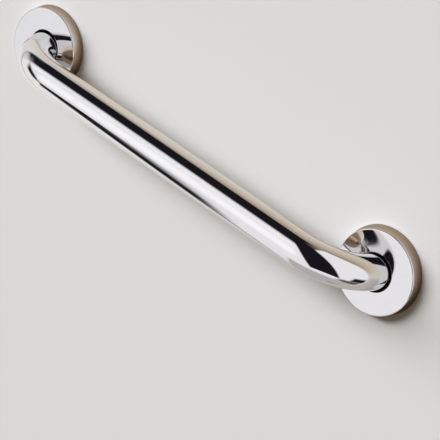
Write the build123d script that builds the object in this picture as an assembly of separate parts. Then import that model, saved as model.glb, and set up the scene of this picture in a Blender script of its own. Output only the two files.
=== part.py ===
from build123d import *
import os
from math import sqrt

# Grab bar for a bathroom wall, in millimetres.
# The wall is the plane Y = 0 and the room lies on its -Y side. X runs along the bar and Z is up.
# The origin is on the wall, behind the middle of the bar.

# Bar: one bent tube, with room for a hand between it and the wall
tube_diameter = 32.0
tube_wall = 1.3
hand_gap = 38.0
flange_spacing = 406.4

# Covers: cups drawn from sheet, loose on the tube
cover_diameter = 80.0
cover_height = 11.8
cover_draft = 1.8
cover_sheet = 0.8
cover_edge_radius = 1.2
cover_hole_slack = 1.6
cover_hole_edge = 0.25
cover_tube_slip = 0.35
cover_wall_gap = 0.2

# Mounting plates: discs welded round the ends of the tube, inside the covers
plate_thickness = 3.2
plate_cover_slip = 0.45
plate_edge_chamfer = 0.4
plate_tube_gap = 0.3

# Weld bead in the corner between tube and plate
weld_leg = 4.0

# Screws that hold each plate to the wall
screw_count = 3
screw_circle = 54.0
screw_first_angle = 60.0
screw_length = 38.0
screw_thread_diameter = 4.8
screw_neck_diameter = 5.6
screw_hole_slip = 0.25
screw_tip_length = 6.0
screw_tip_diameter = 0.8
screw_head_diameter = 9.2
screw_head_height = 2.8
screw_head_dome = 1.8
recess_span = 4.8
recess_width = 1.1
recess_depth = 1.7

# Sizes that follow: the bend is a quarter circle that starts at the wall and ends at the bar
tube_radius = tube_diameter / 2
bend_radius = hand_gap + tube_radius
bend_axis_x = flange_spacing / 2 - bend_radius
cover_radius = cover_diameter / 2
cover_face_radius = cover_radius - cover_draft
plate_lean = cover_draft * plate_thickness / cover_height
plate_radius = cover_radius - cover_sheet - plate_lean - plate_cover_slip
plate_tube_hole = tube_radius + plate_tube_gap
screw_hole_radius = screw_neck_diameter / 2 + screw_hole_slip

# The hole in a cover is wider than the tube and just clears it on the side of the bar, where the tube leans
near_side = sqrt((bend_radius - tube_radius) ** 2 - cover_height**2)
cover_hole_radius = tube_radius + cover_hole_slack
cover_hole_shift = bend_radius - near_side + cover_tube_slip - cover_hole_radius

ON_BASE = (Align.CENTER, Align.CENTER, Align.MIN)
SIDES = {"left": -1, "right": 1}


def flange_plane(side):
    """Frame of one flange: its x points along the bar to the middle, its z away from the wall."""
    centre = (side * flange_spacing / 2, 0, 0)
    return Plane(origin=centre, x_dir=(-side, 0, 0), z_dir=(0, -1, 0))


def bent_bar(section):
    """Carries a round section along the tube's centreline, from wall to wall."""
    start, end = [Plane.YZ.offset(x) * Pos(-bend_radius, 0) * section for x in (-bend_axis_x, bend_axis_x)]
    straight = extrude(start, amount=2 * bend_axis_x)
    bend_axis = Axis((bend_axis_x, 0, 0), (0, 0, 1))
    right_bend = revolve(end, axis=bend_axis, revolution_arc=90)
    return straight + right_bend + mirror(right_bend, about=Plane.YZ)


def bar_tube():
    """The bent tube, open at both ends."""
    return bent_bar(Circle(tube_radius) - Circle(tube_radius - tube_wall))


def cup_form(rim_radius, face_radius, top, edge):
    """Round block that stands at the cover's rim and narrows to its face, with its top edge rounded."""
    block = Pos(0, 0, cover_wall_gap) * Cone(rim_radius, face_radius, top - cover_wall_gap, align=ON_BASE)
    return fillet(block.edges().sort_by(Axis.Z)[-1], edge)


def cover():
    """Drawn cup with its hole set towards the bar, where the bent tube passes."""
    outside = cup_form(cover_radius, cover_face_radius, cover_height, cover_edge_radius)
    rim_inside, face_inside = cover_radius - cover_sheet, cover_face_radius - cover_sheet
    inside = cup_form(rim_inside, face_inside, cover_height - cover_sheet, cover_edge_radius - cover_sheet)
    hole = Pos(cover_hole_shift, 0, 0) * Cylinder(cover_hole_radius, cover_height, align=ON_BASE)
    cup = outside - inside - hole
    hole_rim = cup.edges().filter_by(GeomType.CIRCLE).group_by(Axis.Z)[-1].sort_by(SortBy.RADIUS)[0]
    return chamfer(hole_rim, cover_hole_edge)


def screw_places():
    """Places of the screws round one flange: one on the outer side, the others beside the bend."""
    return PolarLocations(screw_circle / 2, screw_count, start_angle=screw_first_angle)


def plate():
    """Mounting disc with the tube's hole and the screw holes."""
    disc = Cylinder(plate_radius, plate_thickness, align=ON_BASE)
    disc = chamfer(disc.edges().sort_by(Axis.Z)[-1], plate_edge_chamfer)
    disc -= Cylinder(plate_tube_hole, plate_thickness, align=ON_BASE)
    drill = Cylinder(screw_hole_radius, plate_thickness, align=ON_BASE)
    return disc - [place * drill for place in screw_places()]


def weld(side):
    """Flat-faced bead in the corner between tube and plate, cut to the tube that it is laid against."""
    toe_radius = tube_radius + weld_leg
    root_radius = tube_radius - tube_wall
    bead = Cone(toe_radius, root_radius, toe_radius - root_radius, align=ON_BASE)
    return flange_plane(side) * Pos(0, 0, plate_thickness) * bead - bent_bar(Circle(tube_radius))


def screw():
    """Pan-head wall screw, its head seated on the plate and its thread behind the wall face."""
    head = Cylinder(screw_head_diameter / 2, screw_head_height, align=ON_BASE)
    head = fillet(head.edges().sort_by(Axis.Z)[-1], screw_head_dome)
    slot = Box(recess_span, recess_width, recess_depth, align=(Align.CENTER, Align.CENTER, Align.MAX))
    cross = slot + Rot(0, 0, 90) * slot
    head -= Pos(0, 0, screw_head_height) * cross
    neck = Cylinder(screw_neck_diameter / 2, plate_thickness, align=ON_BASE)
    thread_radius = screw_thread_diameter / 2
    thread_length = screw_length - plate_thickness - screw_tip_length
    thread = Pos(0, 0, -thread_length) * Cylinder(thread_radius, thread_length, align=ON_BASE)
    tip = Pos(0, 0, -thread_length - screw_tip_length) * Cone(
        screw_tip_diameter / 2, thread_radius, screw_tip_length, align=ON_BASE
    )
    return Pos(0, 0, plate_thickness) * head + neck + thread + tip


def wall_screws():
    """All the screws of both flanges, as separate solids."""
    one = screw()
    copies = [flange_plane(side) * place * one for side in SIDES.values() for place in screw_places()]
    return Compound(children=[copy.solid() for copy in copies])


os.makedirs("parts", exist_ok=True)
export_step(bar_tube(), "parts/bar_tube.step")
export_step(wall_screws(), "parts/wall_screws.step")
for name, side in SIDES.items():
    export_step(flange_plane(side) * cover(), f"parts/{name}_cover.step")
    export_step(flange_plane(side) * plate(), f"parts/{name}_plate.step")
    export_step(weld(side), f"parts/{name}_weld.step")
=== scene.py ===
"""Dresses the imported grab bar: polished tube and covers, welded plates and wall screws, on a pale wall."""
import logging
import math
from collections.abc import Callable, Iterator
from contextlib import contextmanager
from dataclasses import dataclass
from enum import Enum
from itertools import product

import bmesh
import bpy
from mathutils import Matrix, Vector


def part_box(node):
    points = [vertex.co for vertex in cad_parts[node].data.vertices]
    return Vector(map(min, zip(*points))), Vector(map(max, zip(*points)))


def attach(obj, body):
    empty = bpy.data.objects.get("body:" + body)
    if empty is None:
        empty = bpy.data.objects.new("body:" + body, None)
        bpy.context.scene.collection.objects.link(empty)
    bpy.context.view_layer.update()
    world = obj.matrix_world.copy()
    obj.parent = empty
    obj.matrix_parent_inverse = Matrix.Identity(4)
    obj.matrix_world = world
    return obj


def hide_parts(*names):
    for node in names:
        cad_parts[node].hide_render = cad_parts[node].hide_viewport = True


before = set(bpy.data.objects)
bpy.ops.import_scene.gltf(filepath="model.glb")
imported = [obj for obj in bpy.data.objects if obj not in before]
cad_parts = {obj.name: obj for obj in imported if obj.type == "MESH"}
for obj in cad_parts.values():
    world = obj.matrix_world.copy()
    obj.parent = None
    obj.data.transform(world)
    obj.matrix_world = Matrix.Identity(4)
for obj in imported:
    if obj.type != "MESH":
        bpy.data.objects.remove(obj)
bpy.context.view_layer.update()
LOG = logging.getLogger("grab_bar")
MM = 0.001
AT_SHARP_EDGES = {"limit_method": "ANGLE", "angle_limit": math.radians(50)}
MERGE = 0.002 * MM
TOUCH = 0.02 * MM
QUARTER = math.pi / 2

Colour = tuple[float, float, float, float]
Triple = tuple[float, float, float]
Piece = bpy.types.Object
Metal = bpy.types.Material
Socket = bpy.types.NodeSocket
Tree = bpy.types.NodeTree

RIGHT: Triple = (1.0, 0.0, 0.0)
FRONT: Triple = (0.0, -1.0, 0.0)
UP: Triple = (0.0, 0.0, 1.0)


class Body(Enum):
    """Bodies that the pieces move with."""

    BAR = "bar"
    LEFT_COVER = "left_cover"
    RIGHT_COVER = "right_cover"


class Slot(Enum):
    """Material slot names of the record. Nothing here uses them: each new piece gets its own material."""

    POLISHED = "polished_steel"
    WELD = "weld_steel"
    SCREW = "screw_steel"


class Side(Enum):
    """The two ends of the bar, as the sign of X."""

    LEFT = -1
    RIGHT = 1

    def named(self, kind: str) -> str:
        """The name of this side's piece of a kind."""
        return f"{self.name.lower()}_{kind}"


# Editing helpers


def focus(piece: Piece) -> None:
    """Selects one piece alone and makes it active.

    Args:
        piece: The mesh object.
    """
    bpy.ops.object.select_all(action="DESELECT")
    piece.select_set(True)
    bpy.context.view_layer.objects.active = piece


@contextmanager
def editing(piece: Piece) -> Iterator[bpy.types.Mesh]:
    """Opens one piece in edit mode with everything selected, and closes it again.

    Args:
        piece: The mesh object to edit.

    Returns:
        An iterator over the mesh, for use in a with statement.
    """
    focus(piece)
    bpy.ops.object.mode_set(mode="EDIT")
    bpy.context.tool_settings.mesh_select_mode = (True, False, False)
    bpy.ops.mesh.select_all(action="SELECT")
    try:
        yield piece.data
    finally:
        bpy.ops.object.mode_set(mode="OBJECT")


def pick(mesh: bpy.types.Mesh, wanted: Callable[[Vector], bool]) -> None:
    """Selects the vertices that pass a test of their place, with the edges and faces between them.

    Args:
        mesh: Mesh in edit mode.
        wanted: Test of a vertex's place.
    """
    bpy.ops.mesh.select_all(action="DESELECT")
    cage = bmesh.from_edit_mesh(mesh)
    for vertex in cage.verts:
        vertex.select = wanted(vertex.co)
    cage.select_flush_mode()
    bmesh.update_edit_mesh(mesh)


def extrude(x: float, y: float, z: float) -> None:
    """Extrudes the selection by one step."""
    bpy.ops.mesh.extrude_region_move(TRANSFORM_OT_translate={"value": (x, y, z)})


def resize(x: float, y: float, z: float, centre: Vector | Triple = (0, 0, 0)) -> None:
    """Scales the selection about a centre."""
    bpy.ops.transform.resize(value=(x, y, z), center_override=centre)


def apply_modifier(piece: Piece, kind: str, **values: object) -> None:
    """Adds one modifier to a piece and applies it.

    Args:
        piece: The mesh object.
        kind: Blender's name of the modifier's type.
        values: Settings of the modifier.
    """
    focus(piece)
    modifier = piece.modifiers.new(kind.lower(), kind)
    for name, value in values.items():
        setattr(modifier, name, value)
    bpy.ops.object.modifier_apply(modifier=modifier.name)


def settle(name: str, scale: Triple = (1, 1, 1)) -> Piece:
    """Names the object just added and moves its place, turn and size into its mesh.

    Args:
        name: Name of the piece.
        scale: Size to give it first.

    Returns:
        The object, unturned at the origin.
    """
    piece = bpy.context.object
    focus(piece)
    piece.scale = scale
    bpy.ops.object.transform_apply(location=True, rotation=True, scale=True)
    piece.name = name
    piece.data.name = name
    return piece


def new_ring(
    name: str, corners: int, radius: float, centre: Vector | Triple, tilt: float = QUARTER
) -> Piece:
    """Adds an open ring, with its place in its mesh.

    Args:
        name: Name of the piece that starts with this ring.
        corners: Number of vertices.
        radius: Radius in metres.
        centre: Centre in the part's frame.
        tilt: Turn about X. A quarter lays the ring flat against the wall, and 0 round the Z axis.

    Returns:
        The new object, unturned at the origin.
    """
    bpy.ops.mesh.primitive_circle_add(
        vertices=corners, radius=radius, fill_type="NOTHING", location=centre, rotation=(tilt, 0, 0)
    )
    return settle(name)


def close_up(piece: Piece) -> None:
    """Merges doubled vertices and points the faces outwards.

    Args:
        piece: The mesh object.
    """
    with editing(piece):
        bpy.ops.mesh.remove_doubles(threshold=MERGE)
        bpy.ops.mesh.normals_make_consistent(inside=False)


def smooth(piece: Piece, angle: float) -> None:
    """Smooths the shading of a piece, apart from edges sharper than an angle in degrees."""
    focus(piece)
    bpy.ops.object.shade_smooth_by_angle(angle=math.radians(angle))


def coat(piece: Piece, finish: Metal) -> None:
    """Gives a piece one finish all over."""
    piece.data.materials.clear()
    piece.data.materials.append(finish)


def seat(piece: Piece, body: Body, node: str, finish: Metal) -> None:
    """Puts a finished piece on its body in place of its solid, and gives it its finish.

    Args:
        piece: The finished mesh object.
        body: Body that it moves with.
        node: Solid that it stands for.
        finish: Material of the whole piece.
    """
    coat(piece, finish)
    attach(piece, body.value)
    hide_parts(node)
    LOG.info("%s: %d faces, on %s", piece.name, len(piece.data.polygons), body.value)


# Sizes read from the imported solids


@dataclass(frozen=True)
class BarSizes:
    """Main sizes of the bar, in metres.

    Args:
        tube_radius: Outer radius of the tube.
        bend_radius: Radius of the tube's centreline in its bends.
        flange_x: Distance of each flange from the middle.
    """

    tube_radius: float
    bend_radius: float
    flange_x: float

    @classmethod
    def from_frame(cls) -> "BarSizes":
        """Works the sizes out from the tube's box.

        Returns:
            The sizes.
        """
        low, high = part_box("bar_tube")
        tube_radius = round((high.z - low.z) / 2, 4)
        return cls(tube_radius, round(-low.y - tube_radius, 4), round(high.x - tube_radius, 4))

    @property
    def bend_x(self) -> float:
        """Distance of each bend's axis from the middle."""
        return self.flange_x - self.bend_radius


# Shader helpers


@dataclass(frozen=True)
class Edge:
    """One soft edge of a patch of places or directions.

    Args:
        axis: Axis that is measured along.
        outside: Measure at which the patch has faded out.
        inside: Measure at which it is full.
        both_sides: Whether the measure's sign is left out.
        deeper: Added to the measure in metal that is itself mirrored in metal.
    """

    axis: Triple
    outside: float
    inside: float
    both_sides: bool = False
    deeper: float = 0.0


@dataclass(frozen=True)
class Layer:
    """A patch of one colour, laid over what is under it.

    Args:
        colour: Its colour, or the socket of one.
        edges: Its edges. The patch lies inside all of them.
    """

    colour: Colour | Socket
    edges: tuple[Edge, ...]


@dataclass
class Nodes:
    """Short forms for building one node tree.

    Args:
        tree: The tree of a material, a world or a group.
    """

    tree: Tree

    def add(self, kind: str, feeds: dict | None = None, **settings: object) -> bpy.types.Node:
        """Adds a node, sets its properties and feeds its inputs.

        Args:
            kind: Blender's name of the node's type.
            feeds: Output socket or plain value for each input, by name or number.
            settings: Properties of the node.

        Returns:
            The new node.
        """
        node = self.tree.nodes.new(kind)
        for name, value in settings.items():
            setattr(node, name, value)
        for name, source in (feeds or {}).items():
            self.feed(node.inputs[name], source)
        return node

    def feed(self, socket: Socket, source: object) -> None:
        """Links an output to a socket, or sets the socket's own value.

        Args:
            socket: Input socket.
            source: Output socket, or a plain value.
        """
        if isinstance(source, Socket):
            self.tree.links.new(source, socket)
        else:
            socket.default_value = source

    def math(self, operation: str, *values: object) -> Socket:
        """Works out one operation on sockets or numbers."""
        return self.add("ShaderNodeMath", dict(enumerate(values)), operation=operation).outputs[0]

    def raised(self, base: object, mask: object, amount: object) -> Socket:
        """Adds an amount to a base where a mask is full."""
        return self.math("MULTIPLY_ADD", mask, amount, base)

    def blend(self, share: object, first: object, second: object) -> Socket:
        """Mixes two numbers by the share of the second."""
        return self.raised(first, share, self.math("SUBTRACT", second, first))

    def product(self, first: object, *others: object) -> Socket:
        """Multiplies masks.

        Args:
            first: First mask.
            others: The other masks.

        Returns:
            The product's socket.
        """
        for other in others:
            first = self.math("MULTIPLY", first, other)
        return first

    def dot(self, vector: Socket, axis: Triple) -> Socket:
        """Measures a place or a direction along an axis."""
        feeds = {0: vector, 1: axis}
        return self.add("ShaderNodeVectorMath", feeds, operation="DOT_PRODUCT").outputs["Value"]

    def apart(self, vector: Socket) -> list[Socket]:
        """Takes a vector apart into X, Y and Z."""
        return list(self.add("ShaderNodeSeparateXYZ", {0: vector}).outputs)

    def step(self, value: object, start: float, end: float) -> Socket:
        """Rises smoothly from 0 at start to 1 at end.

        Args:
            value: Socket to test.
            start: Value at which the result is 0.
            end: Value at which the result is 1.

        Returns:
            The result's socket.
        """
        low, high = (0.0, 1.0) if start < end else (1.0, 0.0)
        feeds = {"Value": value, "From Min": min(start, end), "From Max": max(start, end)}
        feeds |= {"To Min": low, "To Max": high}
        return self.add("ShaderNodeMapRange", feeds, interpolation_type="SMOOTHSTEP").outputs["Result"]

    def mix(self, share: object, first: object, second: object) -> Socket:
        """Mixes two colours.

        Args:
            share: Share of the second colour.
            first: Colour or socket.
            second: Colour or socket.

        Returns:
            The mixed colour's socket.
        """
        node = self.add("ShaderNodeMix", data_type="RGBA")
        self.feed(node.inputs["Factor"], share)
        colours = [socket for socket in node.inputs if socket.type == "RGBA"]
        self.feed(colours[0], first)
        self.feed(colours[1], second)
        return next(socket for socket in node.outputs if socket.type == "RGBA")

    def noise(self, vector: Socket, scale: object, detail: float = 2.0) -> Socket:
        """Adds noise of about 0.5 on average, with a scale in waves per metre and some finer layers."""
        feeds = {"Vector": vector, "Scale": scale, "Detail": detail}
        return self.add("ShaderNodeTexNoise", feeds).outputs["Fac"]

    def group(self, tree: Tree, **values: object) -> bpy.types.bpy_prop_collection:
        """Places a shared group and gives its outputs."""
        return self.add("ShaderNodeGroup", values, node_tree=tree).outputs

    def round_flange(self, place: Socket, flange_x: float) -> tuple[Socket, Socket]:
        """Measures a place from the axis of the nearer flange.

        Args:
            place: Socket of the place.
            flange_x: Distance of each flange from the middle.

        Returns:
            The sockets of its distance outwards along the bar, and of its distance from the axis.
        """
        right, _, up = self.apart(place)
        outwards = self.math("SUBTRACT", self.math("ABSOLUTE", right), flange_x)
        squared = self.raised(self.product(outwards, outwards), up, up)
        return outwards, self.math("SQRT", squared)

    def twice_mirrored(self) -> Socket:
        """Marks the rays that come from metal which is itself mirrored in metal."""
        return self.math("GREATER_THAN", self.add("ShaderNodeLightPath").outputs["Glossy Depth"], 1.5)

    def patch(self, vector: Socket, edges: tuple[Edge, ...]) -> Socket:
        """Masks a patch with soft edges.

        Args:
            vector: Socket of the place or the direction.
            edges: Edges of the patch.

        Returns:
            The mask's socket.
        """
        masks = []
        for edge in edges:
            measure = self.dot(vector, edge.axis)
            if edge.both_sides:
                measure = self.math("ABSOLUTE", measure)
            if edge.deeper:
                measure = self.raised(measure, self.twice_mirrored(), edge.deeper)
            masks.append(self.step(measure, edge.outside, edge.inside))
        return self.product(*masks)

    def paint(self, vector: Socket, under: object, *layers: Layer) -> Socket:
        """Lays patches of colour over each other.

        Args:
            vector: Socket of the place or the direction.
            under: Colour or socket of the ground.
            layers: The patches, from the lowest to the highest.

        Returns:
            The colour's socket.
        """
        for layer in layers:
            under = self.mix(self.patch(vector, layer.edges), under, layer.colour)
        return under

    def surface(
        self, shader: bpy.types.Node, colour: Socket, rough: Socket, relief: Socket, depth: float
    ) -> None:
        """Gives a metal its looks.

        Args:
            shader: The Principled shader.
            colour: Socket of the colour.
            rough: Socket of the roughness.
            relief: Socket of the fine relief, from 0 to 1.
            depth: Height of the relief in metres.
        """
        bump = self.add("ShaderNodeBump", {"Distance": depth, "Height": relief}).outputs["Normal"]
        for name, source in {"Base Color": colour, "Roughness": rough, "Normal": bump}.items():
            self.feed(shader.inputs[name], source)


def new_metal(name: str) -> tuple[Metal, Nodes, bpy.types.Node, Socket]:
    """Starts a metal.

    Args:
        name: Name of the material.

    Returns:
        The material, its nodes, its shader and the place on the piece.
    """
    made = bpy.data.materials.new(name)
    made.use_nodes = True
    nodes = Nodes(made.node_tree)
    shader = made.node_tree.nodes["Principled BSDF"]
    shader.inputs["Metallic"].default_value = 1.0
    return made, nodes, shader, nodes.add("ShaderNodeTexCoord").outputs["Object"]


def grey(level: float, warmth: float = 0.0) -> Colour:
    """A linear grey whose red is raised and whose blue is lowered by its warmth."""
    return (level * (1 + warmth), level, level * (1 - warmth), 1.0)


# Effects that several finishes share

HEAT_TINTS: tuple[tuple[float, Colour], ...] = (
    (0.0, grey(0.30)),
    (0.22, (0.21, 0.24, 0.36, 1.0)),
    (0.42, (0.33, 0.22, 0.25, 1.0)),
    (0.62, (0.46, 0.32, 0.16, 1.0)),
    (0.84, (0.60, 0.52, 0.36, 1.0)),
    (1.0, grey(0.56)),
)
HEAT_WANDER = 2.5 * MM
HEAT_FADE = (1.0, 0.72)
SMEARS_PER_CLOUD = 4.3


def new_group(
    name: str, takes: tuple[str, ...], gives: dict[str, str]
) -> tuple[Nodes, list[Socket], list[Socket]]:
    """Starts a shader node group that takes a place and some numbers.

    Args:
        name: Name of the group.
        takes: Names of the numbers.
        gives: Socket type of each output, by name.

    Returns:
        The group's nodes, its inputs as seen inside, and its outputs as seen inside.
    """
    tree = bpy.data.node_groups.new(name, "ShaderNodeTree")
    kinds = {"Place": "NodeSocketVector"} | dict.fromkeys(takes, "NodeSocketFloat")
    for way, sockets in (("INPUT", kinds), ("OUTPUT", gives)):
        for word, kind in sockets.items():
            tree.interface.new_socket(word, in_out=way, socket_type=kind)
    nodes = Nodes(tree)
    inside = nodes.add("NodeGroupInput").outputs
    outside = nodes.add("NodeGroupOutput").inputs
    return nodes, [inside[word] for word in kinds], [outside[word] for word in gives]


def wiping_haze() -> Tree:
    """Patches of faint haze that wiping and handling leave.

    Returns:
        A group from a place and a patch scale to a mask.
    """
    nodes, (place, patches), (haze,) = new_group("wiping_haze", ("Patches",), {"Haze": "NodeSocketFloat"})
    clouds = nodes.noise(place, patches, detail=4.0)
    smears = nodes.noise(place, nodes.math("MULTIPLY", patches, SMEARS_PER_CLOUD), detail=3.0)
    nodes.feed(haze, nodes.product(nodes.step(clouds, 0.42, 0.70), nodes.step(smears, 0.30, 0.75)))
    return nodes.tree


def drawn_lines() -> Tree:
    """Fine lines along X, as rolling and polishing leave them.

    Returns:
        A group from a place, lines per metre and a length to a height.
    """
    nodes, takes, (height,) = new_group("drawn_lines", ("Lines", "Length"), {"Height": "NodeSocketFloat"})
    place, lines, length = takes
    right, back, up = nodes.apart(place)
    feeds = {0: nodes.math("DIVIDE", right, length), 1: back, 2: up}
    stretched = nodes.add("ShaderNodeCombineXYZ", feeds).outputs[0]
    nodes.feed(height, nodes.noise(stretched, lines, detail=5.0))
    return nodes.tree


def heat_tint(sizes: BarSizes) -> Tree:
    """Straw, brown and blue tints that welding leaves round the ends of the tube.

    Args:
        sizes: Main sizes of the bar.

    Returns:
        A group from a place and the tint's inner and outer radius to a colour and a mask.
    """
    results = {"Tint": "NodeSocketColor", "Share": "NodeSocketFloat"}
    nodes, (place, inner, outer), (tint, share) = new_group("heat_tint", ("Inner", "Outer"), results)
    _, radius = nodes.round_flange(place, sizes.flange_x)
    wander = nodes.blend(nodes.noise(place, scale=210.0, detail=3.0), -HEAT_WANDER, HEAT_WANDER)
    feeds = {"Value": nodes.math("ADD", radius, wander), "From Min": inner, "From Max": outer}
    spread = nodes.add("ShaderNodeMapRange", feeds, interpolation_type="LINEAR").outputs["Result"]
    ramp = nodes.add("ShaderNodeValToRGB", {"Fac": spread})
    while len(ramp.color_ramp.elements) < len(HEAT_TINTS):
        ramp.color_ramp.elements.new(0.5)
    for element, (position, colour) in zip(ramp.color_ramp.elements, HEAT_TINTS):
        element.position = position
        element.color = colour
    nodes.feed(tint, ramp.outputs["Color"])
    nodes.feed(share, nodes.step(spread, *HEAT_FADE))
    return nodes.tree


@dataclass(frozen=True)
class Effects:
    """The shared node groups, built once.

    Args:
        haze: Haze of wiping and handling.
        lines: Fine drawn lines.
        tint: Heat tint round the welds.
    """

    haze: Tree
    lines: Tree
    tint: Tree

    @classmethod
    def made(cls, sizes: BarSizes) -> "Effects":
        """Builds every group."""
        return cls(wiping_haze(), drawn_lines(), heat_tint(sizes))


# Finishes


@dataclass(frozen=True)
class PolishedSteel:
    """Mirror-polished stainless steel, with the faint haze that wiping leaves.

    Args:
        effects: Shared node groups.
        tone: Mirror brightness.
        gloss: Roughness of clean metal.
        scratch: Roughness that the polishing lines add.
        haze: Roughness that the haze adds.
        waves: Faint waves per metre that polishing leaves.
        ripple: Height of these waves.
    """

    effects: Effects
    tone: float = 0.70
    gloss: float = 0.035
    scratch: float = 0.012
    haze: float = 0.035
    waves: float = 85.0
    ripple: float = 0.0035 * MM

    def material(self) -> Metal:
        """Builds the material.

        Returns:
            The new material.
        """
        made, nodes, shader, place = new_metal("polished_steel")
        colour, rough = self.polish(nodes, place)
        nodes.surface(shader, colour, rough, nodes.noise(place, self.waves), self.ripple)
        return made

    def polish(self, nodes: Nodes, place: Socket) -> tuple[Socket, Socket]:
        """Gives the polished surface's looks.

        Args:
            nodes: Node tree of the material.
            place: Place on the piece.

        Returns:
            The sockets of its colour and of its roughness.
        """
        smear = nodes.group(self.effects.haze, Place=place, Patches=38.0)["Haze"]
        lines = nodes.group(self.effects.lines, Place=place, Lines=420.0, Length=30.0)["Height"]
        worn = nodes.raised(self.gloss, nodes.step(lines, 0.5, 0.8), self.scratch)
        colour = nodes.mix(smear, grey(self.tone, 0.01), grey(self.tone * 0.96, 0.02))
        return colour, nodes.raised(worn, smear, self.haze)


@dataclass(frozen=True, kw_only=True)
class DrawnCup(PolishedSteel):
    """Polished steel of the covers, whose inside is left dull as it was drawn.

    Args:
        flange_x: Distance of each cover from the middle.
        dull: Brightness of the inside.
        drawn_rough: Roughness of the inside, between and on its lines.
        turn_in: How far a surface faces away from the middle of the rim, outside and inside the cover.
    """

    flange_x: float
    dull: float = 0.50
    drawn_rough: tuple[float, float] = (0.27, 0.43)
    turn_in: tuple[float, float] = (1.0 * MM, -5.0 * MM)

    def material(self) -> Metal:
        """Builds the material.

        Returns:
            The new material.
        """
        made, nodes, shader, place = new_metal("drawn_cup")
        colour, rough = self.polish(nodes, place)
        inside = self.inside(nodes, place)
        lines = nodes.group(self.effects.lines, Place=place, Lines=1500.0, Length=9.0)["Height"]
        drawn = nodes.mix(lines, grey(self.dull * 0.84, 0.01), grey(self.dull * 1.14, 0.01))
        colour = nodes.mix(inside, colour, drawn)
        rough = nodes.blend(inside, rough, nodes.blend(lines, *self.drawn_rough))
        nodes.surface(shader, colour, rough, nodes.noise(place, self.waves), self.ripple)
        return made

    def inside(self, nodes: Nodes, place: Socket) -> Socket:
        """Finds the inside of a cover, where the surface faces the middle of its rim.

        Args:
            nodes: Node tree of the material.
            place: Place on the piece.

        Returns:
            The mask's socket.
        """
        right, back, up = nodes.apart(place)
        facing = nodes.apart(nodes.add("ShaderNodeTexCoord").outputs["Normal"])
        outwards, _ = nodes.round_flange(place, self.flange_x)
        lean = nodes.product(outwards, facing[0], nodes.math("SIGN", right))
        lean = nodes.raised(lean, back, facing[1])
        lean = nodes.raised(lean, up, facing[2])
        return nodes.step(lean, *self.turn_in)


@dataclass(frozen=True)
class RolledPlate:
    """Dull rolled plate, tinted by heat round the weld.

    Args:
        effects: Shared node groups.
        tone: Brightness of the clean plate.
        rough: Roughness between and on the rolling lines.
        haze: Roughness that the haze adds.
        grain: Height of the rolling lines.
    """

    effects: Effects
    tone: float = 0.56
    rough: tuple[float, float] = (0.26, 0.42)
    haze: float = 0.10
    grain: float = 0.012 * MM

    def material(self) -> Metal:
        """Builds the material.

        Returns:
            The new material.
        """
        made, nodes, shader, place = new_metal("rolled_plate")
        lines = nodes.group(self.effects.lines, Place=place, Lines=2600.0, Length=45.0)["Height"]
        smear = nodes.group(self.effects.haze, Place=place, Patches=60.0)["Haze"]
        plain = nodes.mix(lines, grey(self.tone * 0.86), grey(self.tone * 1.12))
        heat = nodes.group(self.effects.tint, Place=place, Inner=18.5 * MM, Outer=27.0 * MM)
        colour = nodes.mix(heat["Share"], plain, heat["Tint"])
        rough = nodes.raised(nodes.blend(lines, *self.rough), smear, self.haze)
        nodes.surface(shader, colour, rough, lines, self.grain)
        return made


@dataclass(frozen=True)
class BareWeld:
    """Bare weld bead, oxidised grey between its ripples.

    Args:
        effects: Shared node groups.
        oxide: Colour of the oxide.
        rough: Roughness of smooth and of pitted metal.
        soot: Depth of the fine pits.
    """

    effects: Effects
    oxide: Colour = grey(0.40, 0.05)
    rough: tuple[float, float] = (0.20, 0.50)
    soot: float = 0.02 * MM

    def material(self) -> Metal:
        """Builds the material.

        Returns:
            The new material.
        """
        made, nodes, shader, place = new_metal("bare_weld")
        heat = nodes.group(self.effects.tint, Place=place, Inner=10.0 * MM, Outer=21.5 * MM)
        pits = nodes.noise(place, scale=2400.0, detail=4.0)
        oxide = nodes.step(nodes.noise(place, scale=520.0, detail=3.0), 0.45, 0.68)
        colour = nodes.mix(oxide, heat["Tint"], self.oxide)
        nodes.surface(shader, colour, nodes.blend(pits, *self.rough), pits, self.soot)
        return made


@dataclass(frozen=True)
class ScrewSteel:
    """Plain stainless screw, tumbled bright, with scuffs from the driver.

    Args:
        effects: Shared node groups.
        tone: Brightness of the clean metal.
        rough: Roughness of clean and of scuffed metal.
        dents: Depth of the fine dents.
    """

    effects: Effects
    tone: float = 0.62
    rough: tuple[float, float] = (0.22, 0.40)
    dents: float = 0.008 * MM

    def material(self) -> Metal:
        """Builds the material.

        Returns:
            The new material.
        """
        made, nodes, shader, place = new_metal("screw_steel")
        smear = nodes.group(self.effects.haze, Place=place, Patches=420.0)["Haze"]
        scuffs = nodes.step(nodes.noise(place, scale=1500.0, detail=5.0), 0.52, 0.74)
        clean = nodes.mix(smear, grey(self.tone), grey(self.tone * 0.84, 0.03))
        colour = nodes.mix(scuffs, clean, grey(self.tone * 0.72))
        relief = nodes.noise(place, scale=1800.0, detail=4.0)
        nodes.surface(shader, colour, nodes.blend(scuffs, *self.rough), relief, self.dents)
        return made


# Sub-assemblies


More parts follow.
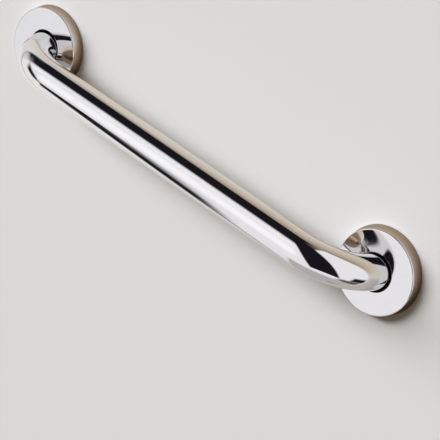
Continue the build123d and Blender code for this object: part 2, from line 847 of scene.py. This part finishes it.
@dataclass
class BentTube:
    """The bent tube from wall to wall.

    Args:
        sizes: Main sizes of the bar.
        wall: Thickness of the tube's wall.
        end_trim: Rounding of the cut ends.
        corners: Vertices round the tube.
        bend_steps: Rings along each bend.
    """

    sizes: BarSizes
    wall: float = 1.3 * MM
    end_trim: float = 0.2 * MM
    corners: int = 128
    bend_steps: int = 56

    def build(self) -> Piece:
        """Spins a ring out of the wall, extrudes it along the bar and spins it back into the wall.

        Returns:
            The tube, with its wall.
        """
        bend_x = self.sizes.bend_x
        tube = new_ring("tube", self.corners, self.sizes.tube_radius, (self.sizes.flange_x, 0, 0))
        with editing(tube) as mesh:
            self.spin(bend_x)
            pick(mesh, lambda at: abs(at.x - bend_x) < TOUCH)
            extrude(-2 * bend_x, 0, 0)
            pick(mesh, lambda at: abs(at.x + bend_x) < TOUCH)
            self.spin(-bend_x)
        close_up(tube)
        apply_modifier(tube, "SOLIDIFY", thickness=self.wall, offset=-1.0)
        apply_modifier(tube, "BEVEL", width=self.end_trim, segments=2, **AT_SHARP_EDGES)
        smooth(tube, angle=40)
        return tube

    def spin(self, axis_x: float) -> None:
        """Turns the selected ring a quarter round a bend's axis."""
        bpy.ops.mesh.spin(
            steps=self.bend_steps, angle=QUARTER, center=(axis_x, 0, 0), axis=(0, 0, 1), use_auto_merge=False
        )

    def dress(self, finish: Metal) -> None:
        """Builds the tube and puts it in the place of its solid."""
        seat(self.build(), Body.BAR, "bar_tube", finish)


@dataclass
class Cover:
    """One drawn cup over a flange.

    Args:
        side: End of the bar.
        sizes: Main sizes of the bar.
        sheet: Thickness of its sheet.
        draft: How much its face is smaller than its rim, on the radius.
        edge_setback: How far the rounding between face and rim reaches along both.
        hole_slack: Width of its hole beyond the tube's, on the radius.
        tube_slip: Clearance between hole and tube on the side of the bar.
        hole_round: Rounding of the hole's front edge.
        trim: Rounding of the other cut edges.
        corners: Vertices round the rim.
        edge_steps: Faces across the rounding.
    """

    side: Side
    sizes: BarSizes
    sheet: float = 0.8 * MM
    draft: float = 1.8 * MM
    edge_setback: float = 1.03 * MM
    hole_slack: float = 1.6 * MM
    tube_slip: float = 0.35 * MM
    hole_round: float = 0.5 * MM
    trim: float = 0.15 * MM
    corners: int = 192
    edge_steps: int = 8

    @property
    def node(self) -> str:
        """Solid that the cover stands for, and body that it is."""
        return self.side.named("cover")

    def hole(self, front: float) -> tuple[float, float]:
        """Finds the wide hole that just clears the leaning tube on the side of the bar.

        Args:
            front: Height of the cover's face above the wall.

        Returns:
            The hole's place along X, and its radius.
        """
        s = self.sizes
        near = math.sqrt((s.bend_radius - s.tube_radius) ** 2 - front**2)
        radius = s.tube_radius + self.hole_slack
        return self.side.value * (s.bend_x + near - self.tube_slip + radius), radius

    def build(self) -> Piece:
        """Raises the rim from a ring, closes the face round the hole and rounds the edges.

        Returns:
            The cover.
        """
        low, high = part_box(self.node)
        centre_x = self.side.value * self.sizes.flange_x
        face_centre = Vector((centre_x, low.y, 0))
        radius = round((high.x - low.x) / 2, 4)
        face_radius = radius - self.draft
        cover = new_ring(self.side.named("cup"), self.corners, radius, Vector((centre_x, high.y, 0)))
        hole_x, hole_radius = self.hole(-low.y)
        with editing(cover):
            for depth, share in ((low.y - high.y, face_radius / radius), (0, hole_radius / face_radius)):
                extrude(0, depth, 0)
                resize(share, 1, share, face_centre)
            bpy.ops.transform.translate(value=(hole_x - centre_x, 0, 0))
        close_up(cover)
        apply_modifier(cover, "BEVEL", width=self.edge_setback, segments=self.edge_steps, **AT_SHARP_EDGES)
        apply_modifier(cover, "SOLIDIFY", thickness=self.sheet, offset=-1.0, use_even_offset=True)
        with editing(cover) as mesh:
            pick(mesh, lambda at: abs(at.y - low.y) < TOUCH
                 and abs(math.hypot(at.x - hole_x, at.z) - hole_radius) < TOUCH)
            bpy.ops.mesh.bevel(offset=self.hole_round, segments=5, affect="EDGES")
        apply_modifier(cover, "BEVEL", width=self.trim, segments=2, **AT_SHARP_EDGES)
        smooth(cover, angle=30)
        apply_modifier(cover, "WEIGHTED_NORMAL", keep_sharp=True, weight=80)
        return cover

    def dress(self, finish: Metal) -> None:
        """Builds the cover and puts it in the place of its solid."""
        seat(self.build(), Body(self.node), self.node, finish)


@dataclass
class WeldBead:
    """Rippled bead in the corner between tube and plate.

    Args:
        side: End of the bar.
        sizes: Main sizes of the bar.
        leg: Width of the bead on the plate.
        sink: How far the bead runs into plate and tube.
        face: Section of its face from toe to root, as shares of the leg inwards and upwards.
        ripples: Ripples round the bead.
        lifts: Height of the surface across one ripple.
        sweep: How far a ripple's middle runs ahead of its ends, in columns.
        foot: Share of the leg, above the plate, that has no ripples.
    """

    side: Side
    sizes: BarSizes
    leg: float = 4.0 * MM
    sink: float = 0.15 * MM
    face: tuple[tuple[float, float], ...] = (
        (0.0, 0.0), (0.10, 0.22), (0.26, 0.45), (0.45, 0.66), (0.66, 0.84), (0.86, 0.97), (1.12, 1.06)
    )
    ripples: int = 48
    lifts: tuple[float, ...] = (-0.16 * MM, 0.0, 0.10 * MM, 0.16 * MM, 0.16 * MM, 0.08 * MM)
    sweep: float = 7.0
    foot: float = 0.05

    @property
    def toe(self) -> float:
        """Radius of the bead's outer edge on the plate."""
        return self.sizes.tube_radius + self.leg

    @property
    def columns(self) -> int:
        """Columns of vertices round the bead."""
        return self.ripples * len(self.lifts)

    def profile(self) -> list[tuple[float, float]]:
        """Gives the bead's whole section, from toe to root and back.

        Returns:
            Radius and height above the plate of each corner.
        """
        section = [(self.toe - across * self.leg, up * self.leg) for across, up in self.face]
        inside = section[-1][0] + self.sink
        return [(self.toe, -self.sink)] + section + [(inside, -self.sink)]

    def build(self) -> Piece:
        """Draws the section round the tube ring by ring, then lifts its ripples.

        Returns:
            The bead.
        """
        plate_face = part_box(self.side.named("weld"))[1].y
        centre = Vector((self.side.value * self.sizes.flange_x, plate_face, 0))
        section = self.profile()
        start = centre - Vector((0, section[0][1], 0))
        bead = new_ring(self.side.named("bead"), self.columns, section[0][0], start)
        with editing(bead):
            for (radius, height), (wider, lower) in zip(section[1:] + section[:1], section):
                extrude(0, lower - height, 0)
                resize(radius / wider, 1, radius / wider, centre)
        close_up(bead)
        with editing(bead) as mesh:
            for column, lift in enumerate(self.lifts):
                pick(mesh, lambda at: self.column(at - centre) == column)
                bpy.ops.transform.shrink_fatten(value=lift)
        apply_modifier(bead, "SUBSURF", levels=1, render_levels=1)
        smooth(bead, angle=60)
        return bead

    def column(self, at: Vector) -> int:
        """Numbers a vertex across its ripple.

        Args:
            at: Place of the vertex from the bead's centre on the plate.

        Returns:
            Its column in the ripple, or -1 away from the bead's face.
        """
        across = (self.toe - math.hypot(at.x, at.z)) / self.leg
        if at.y > -self.foot * self.leg or across > 1.0:
            return -1
        ahead = self.sweep * (across - 0.5) ** 2
        turn = math.atan2(at.z, at.x) / math.tau * self.columns
        return round(turn + ahead) % len(self.lifts)

    def dress(self, finish: Metal) -> None:
        """Builds the bead and puts it in the place of its solid."""
        seat(self.build(), Body.BAR, self.side.named("weld"), finish)


@dataclass
class WallScrews:
    """Pan-head wall screws that hold the plates, modelled once and copied.

    Args:
        sizes: Main sizes of the bar.
        circle: Radius of the circle that they stand on.
        turns: Places round each flange, in degrees from the side of the bar.
        plate: Thickness of the plate under their heads.
        head_radius: Radius of the head.
        head_height: Height of the head.
        dome: Rounding of the head.
        dome_steps: Faces up the rounding.
        corners: Vertices round the head.
        recess: Span, width and depth of the driver's cross.
        recess_taper: Share of its width that the cross keeps at its foot.
        driven: Turn of each screw after the one before, as the driver left it.
        neck_radius: Radius of the plain neck.
        neck_foot: How far the neck runs into the thread.
        core_radius: Radius at the foot of the thread.
        thread_radius: Radius at the crest of the thread.
        thread_top: How far the thread runs into the neck.
        thread_steps: Steps round each turn of the thread.
        crest: Place of the crest, as a share of the pitch.
        pitch: Advance of the thread per turn.
        length: Length behind the wall face.
        tip: Length of the pointed end.
        tip_steps: Steps along the pointed end.
        tip_taper: Share of its width that the end loses.
    """

    sizes: BarSizes
    circle: float = 27.0 * MM
    turns: tuple[float, ...] = (60.0, 180.0, 300.0)
    plate: float = 3.2 * MM
    head_radius: float = 4.6 * MM
    head_height: float = 2.8 * MM
    dome: float = 1.8 * MM
    dome_steps: int = 8
    corners: int = 48
    recess: Triple = (4.8 * MM, 1.1 * MM, 1.7 * MM)
    recess_taper: float = 0.62
    driven: float = 1.3
    neck_radius: float = 2.8 * MM
    neck_foot: float = 0.4 * MM
    core_radius: float = 1.75 * MM
    thread_radius: float = 2.4 * MM
    thread_top: float = 0.6 * MM
    thread_steps: int = 20
    crest: float = 0.62
    pitch: float = 1.9 * MM
    length: float = 34.8 * MM
    tip: float = 6.0 * MM
    tip_steps: int = 16
    tip_taper: float = 0.86

    def head(self) -> Piece:
        """Raises neck and domed head from a ring and cuts the driver's cross.

        Returns:
            The upper half of a screw, standing on the origin.
        """
        head = new_ring("screw", self.corners, self.neck_radius, (0, 0, -self.neck_foot), tilt=0)
        with editing(head):
            bpy.ops.mesh.edge_face_add()
            bpy.ops.mesh.select_all(action="SELECT")
            self.raise_face(self.plate + self.neck_foot, 1.0)
            self.raise_face(0.0, self.head_radius / self.neck_radius)
            self.raise_face(self.head_height - self.dome, 1.0)
            wide, high = self.head_radius, 0.0
            for turn in range(1, self.dome_steps + 1):
                angle = turn * QUARTER / self.dome_steps
                wider = self.head_radius - self.dome * (1 - math.cos(angle))
                higher = self.dome * math.sin(angle)
                self.raise_face(higher - high, wider / wide)
                wide, high = wider, higher
        close_up(head)
        for turn in (0.0, QUARTER):
            cutter = self.cutter(turn)
            apply_modifier(head, "BOOLEAN", object=cutter, operation="DIFFERENCE", solver="EXACT")
            bpy.data.objects.remove(cutter)
        return head

    def raise_face(self, rise: float, spread: float) -> None:
        """Extrudes the selected face upwards and spreads it about the axis."""
        extrude(0, 0, rise)
        resize(spread, spread, 1)

    def cutter(self, turn: float) -> Piece:
        """Makes one tapered bar of the driver's cross.

        Args:
            turn: Its turn about the screw's axis.

        Returns:
            The bar, to cut with.
        """
        span, width, depth = self.recess
        top = self.plate + self.head_height
        bpy.ops.mesh.primitive_cube_add(size=1, location=(0, 0, top), rotation=(0, 0, turn))
        bar = settle("recess", (span, width, 2 * depth))
        with editing(bar) as mesh:
            pick(mesh, lambda at: at.z < top)
            resize(self.recess_taper, self.recess_taper, 1)
        return bar

    def thread(self) -> Piece:
        """Winds the thread's tooth down to the tip and draws the end to a point.

        Returns:
            The lower half of a screw.
        """
        rounds = math.ceil(self.length / self.pitch)
        start = -rounds * self.pitch + self.thread_top
        core, crest = self.core_radius, self.crest * self.pitch
        tooth = ((core, 0.0), (self.thread_radius, crest), (core, self.pitch))
        thread = new_ring("thread", len(tooth), core, (0, 0, start), tilt=0)
        with editing(thread) as mesh:
            cage = bmesh.from_edit_mesh(mesh)
            for vertex, (reach, height) in zip(cage.verts, tooth):
                vertex.co = (reach, 0, start + height)
            upright = [edge for edge in cage.edges if abs(edge.verts[0].co.x - edge.verts[1].co.x) < TOUCH]
            cage.edges.remove(upright[0])
            bmesh.update_edit_mesh(mesh)
        apply_modifier(
            thread, "SCREW", axis="Z", angle=math.tau, screw_offset=self.pitch, iterations=rounds,
            steps=self.thread_steps, render_steps=self.thread_steps, use_merge_vertices=True,
            merge_threshold=MERGE / 2
        )
        with editing(thread) as mesh:
            bpy.ops.mesh.remove_doubles(threshold=MERGE)
            bpy.ops.mesh.select_all(action="DESELECT")
            bpy.ops.mesh.select_non_manifold()
            bpy.ops.mesh.fill()
            self.point(mesh)
            bpy.ops.mesh.select_all(action="SELECT")
            bpy.ops.mesh.normals_make_consistent(inside=False)
        return thread

    def point(self, mesh: bpy.types.Mesh) -> None:
        """Narrows the end of the thread slice by slice and cuts it off flat.

        Args:
            mesh: Mesh of the thread, in edit mode.
        """
        slices = self.tip_steps
        shares = [1.0 - self.tip_taper * i / slices for i in range(slices + 1)]
        for i in range(1, slices + 1):
            edge = self.tip * (1 - i / slices) - self.length
            pick(mesh, lambda at: at.z < edge + self.tip / slices)
            narrower = shares[i] / shares[i - 1]
            resize(narrower, narrower, 1)
        pick(mesh, lambda at: at.z < -self.length)
        resize(1, 1, 0.0, (0, 0, -self.length))

    def build(self) -> Piece:
        """Joins head and thread to one screw.

        Returns:
            The screw, standing on the origin with its axis along Z.
        """
        screw, thread = self.head(), self.thread()
        focus(screw)
        thread.select_set(True)
        bpy.ops.object.join()
        smooth(screw, angle=32)
        return screw

    def dress(self, finish: Metal) -> None:
        """Copies the screw to every hole, each with its driver's cross turned another way.

        Args:
            finish: Material of the screws.
        """
        pattern = self.build()
        for number, (side, turn) in enumerate(product(Side, self.turns), start=1):
            copy = bpy.data.objects.new(side.named(f"screw_{number}"), pattern.data.copy())
            copy.data.name = copy.name
            bpy.context.scene.collection.objects.link(copy)
            angle = math.radians(turn)
            x = side.value * (self.sizes.flange_x - self.circle * math.cos(angle))
            stand = Matrix.Translation((x, 0, self.circle * math.sin(angle)))
            lay = Matrix.Rotation(QUARTER, 4, "X")
            copy.data.transform(stand @ lay @ Matrix.Rotation(self.driven * number, 4, "Z"))
            seat(copy, Body.BAR, "wall_screws", finish)
        bpy.data.objects.remove(pattern)


@dataclass
class MountingPlates:
    """The two plates, whose solids stay and get a finish."""

    def dress(self, finish: Metal) -> None:
        """Gives both solids the plate's finish.

        Args:
            finish: Material of the plates.
        """
        for side in Side:
            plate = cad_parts[side.named("plate")]
            coat(plate, finish)
            LOG.info("%s: solid kept, finish %s", plate.name, finish.name)


# Studio

DARK: Colour = (0.0125, 0.0115, 0.015, 1.0)
OVERHEAD: Triple = (0.0, 0.777, 0.629)


@dataclass(frozen=True)
class WallPanel:
    """Pale panel behind the bar, seen from the front only, with painted light and shade in the metal instead
    of its plain paint.

    Args:
        flange_x: Distance of each cover from the middle.
        low: Lowest corner, as X and Z.
        high: Highest corner, as X and Z.
        gap: Distance behind the mounting faces.
        clearance: Length below which a ray passes through the panel.
        paint: Colour as the camera sees it.
        dullness: Roughness of the paint.
        shine: Mirror strength of the paint.
        below: Painted light and shade in the metal below the bar, from left to right.
        above: The same above the bar, from left to right.
        above_right: The same above the bar on the right, from low to high, and where they lie.
        painted_dim_above: The same, where the light falls off above the bar.
        upper: Where the part above the bar lies.
        painted_shade_behind_bend: The same, in the shade behind the bends.
        shade_reach: Radius round a cover's middle at which its painted shade ends and is full.
        shade_turn: How far right of a cover's middle its painted shade is darkest.
        painted_shade_beside_covers: The same, in that shade, on the left and on the right.
        outer: Painted light at the right end, painted shade at the left end, and painted dark where the
            panel runs out of the light.
        twice: The same in metal that is itself mirrored in metal: painted shade, painted light above the
            bar, and a painted warm glow behind the bar.
    """

    flange_x: float
    low: tuple[float, float] = (-0.80, -0.70)
    high: tuple[float, float] = (0.80, 0.60)
    gap: float = 0.2 * MM
    clearance: float = 0.8 * MM
    paint: Colour = (0.74, 0.728, 0.71, 1.0)
    dullness: float = 0.7
    shine: float = 0.2
    # Painted light and shade below the bar: lighter on the left, darker on the right.
    below: tuple[Colour, Layer, Layer] = (
        (1.0, 1.0, 1.0, 1.0),
        Layer((0.92, 0.915, 0.91, 1.0), (Edge(RIGHT, -0.26, -0.10),)),
        Layer((0.63, 0.60, 0.56, 1.0), (Edge(RIGHT, -0.08, 0.12),)),
    )
    # Painted light and shade above the bar: neutral on the left, warmer to the right.
    above: tuple[Colour, Layer] = (
        (0.84, 0.835, 0.80, 1.0), Layer((0.86, 0.80, 0.70, 1.0), (Edge(RIGHT, -0.30, -0.24),))
    )
    # Painted shade above the bar on the right, darker and browner higher up.
    above_right: tuple[Colour, Layer, Edge] = (
        (0.81, 0.79, 0.69, 1.0),
        Layer((0.745, 0.63, 0.50, 1.0), (Edge(UP, 0.02, 0.11),)),
        Edge(RIGHT, -0.13, 0.05),
    )
    # Painted shade, where the light falls off higher above the bar.
    painted_dim_above: Layer = Layer((0.42, 0.34, 0.26, 1.0), (Edge(UP, 0.07, 0.30), Edge(RIGHT, -0.34, -0.24)))
    upper: tuple[Edge, ...] = (Edge(UP, -0.03, 0.01),)
    # Painted shade behind both bends, between bar and panel.
    painted_shade_behind_bend: Layer = Layer((0.56, 0.42, 0.30, 1.0), (
        Edge(RIGHT, 0.06, 0.12, both_sides=True),
        Edge(RIGHT, 0.25, 0.20, both_sides=True),
        Edge(UP, 0.034, 0.010, both_sides=True),
    ))
    # Painted shade round the covers, laid over the real shadow that they cast.
    shade_reach: tuple[float, float] = (62 * MM, 41 * MM)
    shade_turn: float = 36 * MM
    painted_shade_beside_covers: tuple[Colour, Colour] = ((0.35, 0.255, 0.17, 1.0), (0.24, 0.155, 0.09, 1.0))
    # Painted light at the right end, painted shade at the left end and painted dark high on the left.
    outer: tuple[Layer, ...] = (
        Layer((0.96, 0.96, 0.96, 1.0), (Edge(RIGHT, 0.30, 0.75),)),
        Layer((0.42, 0.42, 0.43, 1.0), (Edge(RIGHT, -0.40, -0.72),)),
        Layer((0.02, 0.018, 0.016, 1.0), (Edge((-0.65, 0.0, 1.0), 0.42, 0.72),)),
    )
    # Painted shade, painted light above the bar and a painted warm glow behind it, for metal mirrored in
    # metal.
    twice: tuple[Colour, Layer, Layer] = (
        (0.32, 0.22, 0.15, 1.0),
        Layer((1.10, 0.95, 0.80, 1.0), (Edge(UP, 0.035, 0.085),)),
        Layer((1.05, 0.80, 0.60, 1.0), (
            Edge(RIGHT, 0.03, 0.06), Edge(UP, -0.045, -0.030), Edge(UP, 0.012, 0.0)
        )),
    )

    def build(self) -> None:
        """Adds the panel and its paint."""
        (left, bottom), (right, top) = self.low, self.high
        middle = ((left + right) / 2, self.gap, (bottom + top) / 2)
        bpy.ops.mesh.primitive_plane_add(size=1, location=middle, rotation=(QUARTER, 0, 0))
        panel = settle("wall_panel", (right - left, top - bottom, 1))
        paint = bpy.data.materials.new("wall_paint")
        paint.use_nodes = True
        nodes = Nodes(paint.node_tree)
        shader = paint.node_tree.nodes["Principled BSDF"]
        path = nodes.add("ShaderNodeLightPath").outputs
        # In the metal the panel shows painted light and shade; to the camera, its plain paint.
        colour = nodes.mix(path["Is Glossy Ray"], self.paint, self.painted_light_in_the_metal(nodes))
        looks = {"Base Color": colour, "Roughness": self.dullness, "Specular IOR Level": self.shine}
        for name, source in looks.items():
            nodes.feed(shader.inputs[name], source)
        clear = nodes.add("ShaderNodeBsdfTransparent").outputs[0]
        behind = nodes.add("ShaderNodeNewGeometry").outputs["Backfacing"]
        touching = nodes.math("LESS_THAN", path["Ray Length"], self.clearance)
        hidden = nodes.math("MAXIMUM", behind, touching)
        both = nodes.add("ShaderNodeMixShader", {0: hidden, 1: shader.outputs[0], 2: clear})
        nodes.feed(paint.node_tree.nodes["Material Output"].inputs["Surface"], both.outputs[0])
        panel.data.materials.append(paint)

    def painted_light_in_the_metal(self, nodes: Nodes) -> Socket:
        """Mixes the painted light and shade that the metal mirrors in place of the panel's plain paint.

        Args:
            nodes: Node tree of the paint.

        Returns:
            The colour's socket.
        """
        place = nodes.add("ShaderNodeTexCoord").outputs["Object"]
        # Painted light and shade above and below the bar, and painted shade behind the bends.
        low, high, right_edge = self.above_right
        right = Layer(nodes.paint(place, low, high), (right_edge,))
        above = Layer(nodes.paint(place, *self.above, right, self.painted_dim_above), self.upper)
        colour = nodes.paint(place, nodes.paint(place, *self.below), above, self.painted_shade_behind_bend)
        # Painted shade round each cover, darker and browner on its right, over the real shadow the covers
        # cast.
        outwards, radius = nodes.round_flange(place, self.flange_x)
        rightwards = nodes.product(outwards, nodes.math("SIGN", nodes.dot(place, RIGHT)))
        beside = nodes.mix(nodes.step(rightwards, 0.0, self.shade_turn), *self.painted_shade_beside_covers)
        colour = nodes.mix(nodes.step(radius, *self.shade_reach), colour, beside)
        # Painted light and shade at the ends of the panel.
        colour = nodes.paint(place, colour, *self.outer)
        # Painted shade, light and glow, for metal that is itself mirrored in metal.
        return nodes.mix(nodes.twice_mirrored(), colour, nodes.paint(place, *self.twice))


@dataclass(frozen=True)
class PhotoCamera:
    """Camera at the photograph's place.

    Args:
        place: Its place.
        target: Point at the middle of the picture.
        roll: Its turn about its own axis, in degrees.
        lens: Focal length in millimetres.
        sensor: Width of the sensor in millimetres.
        nearest: Distance from which it sees.
    """

    place: Triple = (0.70781, -1.19744, 0.62004)
    target: Triple = (0.03847, 0.0, -0.05035)
    roll: float = 21.15
    lens: float = 137.33
    sensor: float = 36.0
    nearest: float = 0.05

    def build(self) -> None:
        """Adds the camera and looks through it."""
        lens = bpy.data.cameras.new("photo_camera")
        lens.lens = self.lens
        lens.sensor_width = self.sensor
        lens.clip_start = self.nearest
        camera = bpy.data.objects.new("photo_camera", lens)
        bpy.context.scene.collection.objects.link(camera)
        place = Vector(self.place)
        aim = (Vector(self.target) - place).to_track_quat("-Z", "Y").to_matrix().to_4x4()
        roll = Matrix.Rotation(math.radians(self.roll), 4, "Z")
        camera.matrix_world = Matrix.Translation(place) @ aim @ roll
        bpy.context.scene.camera = camera


@dataclass(frozen=True)
class StudioRoom:
    """Pale screens with dark gaps between them, for the metal to mirror, and light from the front left.

    Args:
        screen_far: Screens beside the camera, as the left end of the bar mirrors them.
        screen: The same screens, as the right end mirrors them.
        screen_bright: Screen straight in front of the wall.
        floor_left: Floor on the left.
        floor_right: Floor on the right.
        floor_near: The same floor, straight below the bar.
        floor_edge: Dark edge of the floor under the right bend.
        seam_axes: Axes across the seam between screens and floor. The larger measure counts.
        seam_blur: Softness of the seam.
        seam_line: Distance from the seam at which its dark line ends and is full.
        seam_widening: Where the dark line is wider, and by how much.
        seam_ends: The part of the seam that has the dark line.
        gap: Dark gap between the screens on the right.
        ceiling: Ceiling over the bar, behind the dark.
        overhead: Where the dark and the ceiling lie.
        horizon: Dark strip beside the wall.
        back_low: Screen behind the wall, at the bottom.
        back_high: The same screen, at the top.
        back_side: Where that screen lies.
        fill: Soft light from all round.
        key: Light from the front left, in a band that slopes as the view does, so the bar hides its shadow.
        backdrop: What the camera sees past the panel.
    """

    screen_far: Colour = (1.03, 1.035, 1.075, 1.0)
    screen: Layer = Layer((1.09, 1.08, 1.13, 1.0), (Edge(RIGHT, -0.56, -0.36),))
    screen_bright: Layer = Layer((1.30, 1.29, 1.335, 1.0), (Edge((-0.470, -0.880, -0.060), 0.925, 1.00),))
    floor_left: Colour = (1.08, 1.08, 1.08, 1.0)
    floor_right: Layer = Layer((0.575, 0.56, 0.555, 1.0), (Edge(RIGHT, -0.50, -0.43),))
    floor_near: Layer = Layer((0.575, 0.56, 0.555, 1.0), (Edge(UP, -0.66, -0.80), Edge(RIGHT, -0.42, -0.30)))
    floor_edge: Layer = Layer((0.12, 0.11, 0.10, 1.0), (
        Edge((0.69, 0.0, 0.72), 0.17, 0.06, both_sides=True), Edge(UP, -0.42, -0.58), Edge(FRONT, 0.50, 0.30)
    ))
    seam_axes: tuple[Triple, Triple] = ((0.226, -0.737, 0.638), (0.833, -0.446, -0.327))
    seam_blur: float = 0.03
    seam_line: tuple[float, float] = (0.055, 0.018)
    seam_widening: tuple[tuple[Edge, float], ...] = (
        (Edge(RIGHT, -0.56, -0.45), 1.6), (Edge(RIGHT, -0.58, -0.80), 2.8)
    )
    seam_ends: tuple[Edge, ...] = (Edge(RIGHT, -0.42, -0.455), Edge(RIGHT, -0.97, -0.90))
    gap: Layer = Layer(DARK, (
        Edge((0.903, 0.236, 0.359), -0.26, -0.20, deeper=0.07),
        Edge((0.648, 0.719, 0.250), 0.03, -0.03),
        Edge((0.280, -0.452, -0.847), 0.885, 0.855),
    ))
    ceiling: Layer = Layer((0.35, 0.30, 0.25, 1.0), (Edge(OVERHEAD, 0.36, 0.76),))
    overhead: tuple[Edge, ...] = (
        Edge(OVERHEAD, -0.18, 0.04, deeper=0.14), Edge(RIGHT, 0.0, -0.12), Edge(RIGHT, -1.08, -0.84)
    )
    horizon: Layer = Layer(DARK, (
        Edge(FRONT, 0.30, 0.20),
        Edge(UP, -0.70, -0.50),
        Edge(RIGHT, -0.75, -0.62),
        Edge((0.707, 0.0, 0.707), 0.60, 0.45),
    ))
    back_low: Colour = (0.36, 0.355, 0.35, 1.0)
    back_high: Layer = Layer((0.92, 0.92, 0.94, 1.0), (Edge(UP, -0.55, 0.65),))
    back_side: tuple[Edge, ...] = (Edge(FRONT, -0.12, -0.30),)
    fill: Colour = (0.145, 0.115, 0.08, 1.0)
    key: Layer = Layer((13.9, 14.2, 14.9, 1.0), (
        Edge((-0.70, -0.63, 0.335), 0.82, 0.97), Edge((0.0, 0.47, 0.883), 0.26, 0.08, both_sides=True)
    ))
    backdrop: Colour = (0.72, 0.71, 0.69, 1.0)

    def build(self) -> None:
        """Builds the world."""
        world = bpy.data.worlds.new("studio_room")
        bpy.context.scene.world = world
        world.use_nodes = True
        nodes = Nodes(world.node_tree)
        way = nodes.add("ShaderNodeTexCoord").outputs["Generated"]
        path = nodes.add("ShaderNodeLightPath").outputs
        light = nodes.paint(way, self.fill, self.key)
        in_metal = nodes.product(path["Is Glossy Ray"], nodes.math("LESS_THAN", path["Diffuse Depth"], 0.5))
        room = nodes.mix(in_metal, light, self.mirrored(nodes, way))
        seen = nodes.mix(path["Is Camera Ray"], room, self.backdrop)
        nodes.feed(world.node_tree.nodes["Background"].inputs["Color"], seen)

    def mirrored(self, nodes: Nodes, way: Socket) -> Socket:
        """Paints what the metal mirrors.

        Args:
            nodes: Node tree of the world.
            way: Direction that is looked in.

        Returns:
            The colour's socket.
        """
        screens = nodes.paint(way, self.screen_far, self.screen, self.screen_bright)
        floor = nodes.paint(way, self.floor_left, self.floor_right)
        seam = nodes.math("MAXIMUM", *[nodes.dot(way, axis) for axis in self.seam_axes])
        colour = nodes.mix(nodes.step(seam, self.seam_blur, -self.seam_blur), screens, floor)
        colour = nodes.paint(way, colour, self.floor_near, self.floor_edge)
        width = 1.0
        for edge, wider in self.seam_widening:
            width = nodes.raised(width, nodes.patch(way, (edge,)), wider)
        distance = nodes.math("DIVIDE", nodes.math("ABSOLUTE", seam), width)
        line = nodes.product(nodes.step(distance, *self.seam_line), nodes.patch(way, self.seam_ends))
        colour = nodes.mix(line, colour, DARK)
        over = Layer(nodes.paint(way, DARK, self.ceiling), self.overhead)
        back = Layer(nodes.paint(way, self.back_low, self.back_high), self.back_side)
        return nodes.paint(way, colour, self.gap, over, self.horizon, back)


def main() -> None:
    """Builds and dresses every piece, then the studio."""
    logging.basicConfig(level=logging.INFO, format="%(message)s")
    sizes = BarSizes.from_frame()
    effects = Effects.made(sizes)
    BentTube(sizes).dress(PolishedSteel(effects).material())
    drawn = DrawnCup(effects, flange_x=sizes.flange_x).material()
    welded = BareWeld(effects).material()
    for side in Side:
        Cover(side, sizes).dress(drawn)
        WeldBead(side, sizes).dress(welded)
    MountingPlates().dress(RolledPlate(effects).material())
    WallScrews(sizes).dress(ScrewSteel(effects).material())
    WallPanel(sizes.flange_x).build()
    PhotoCamera().build()
    StudioRoom().build()
    bpy.context.scene.view_settings.view_transform = "Standard"


if __name__ == "__main__":
    main()
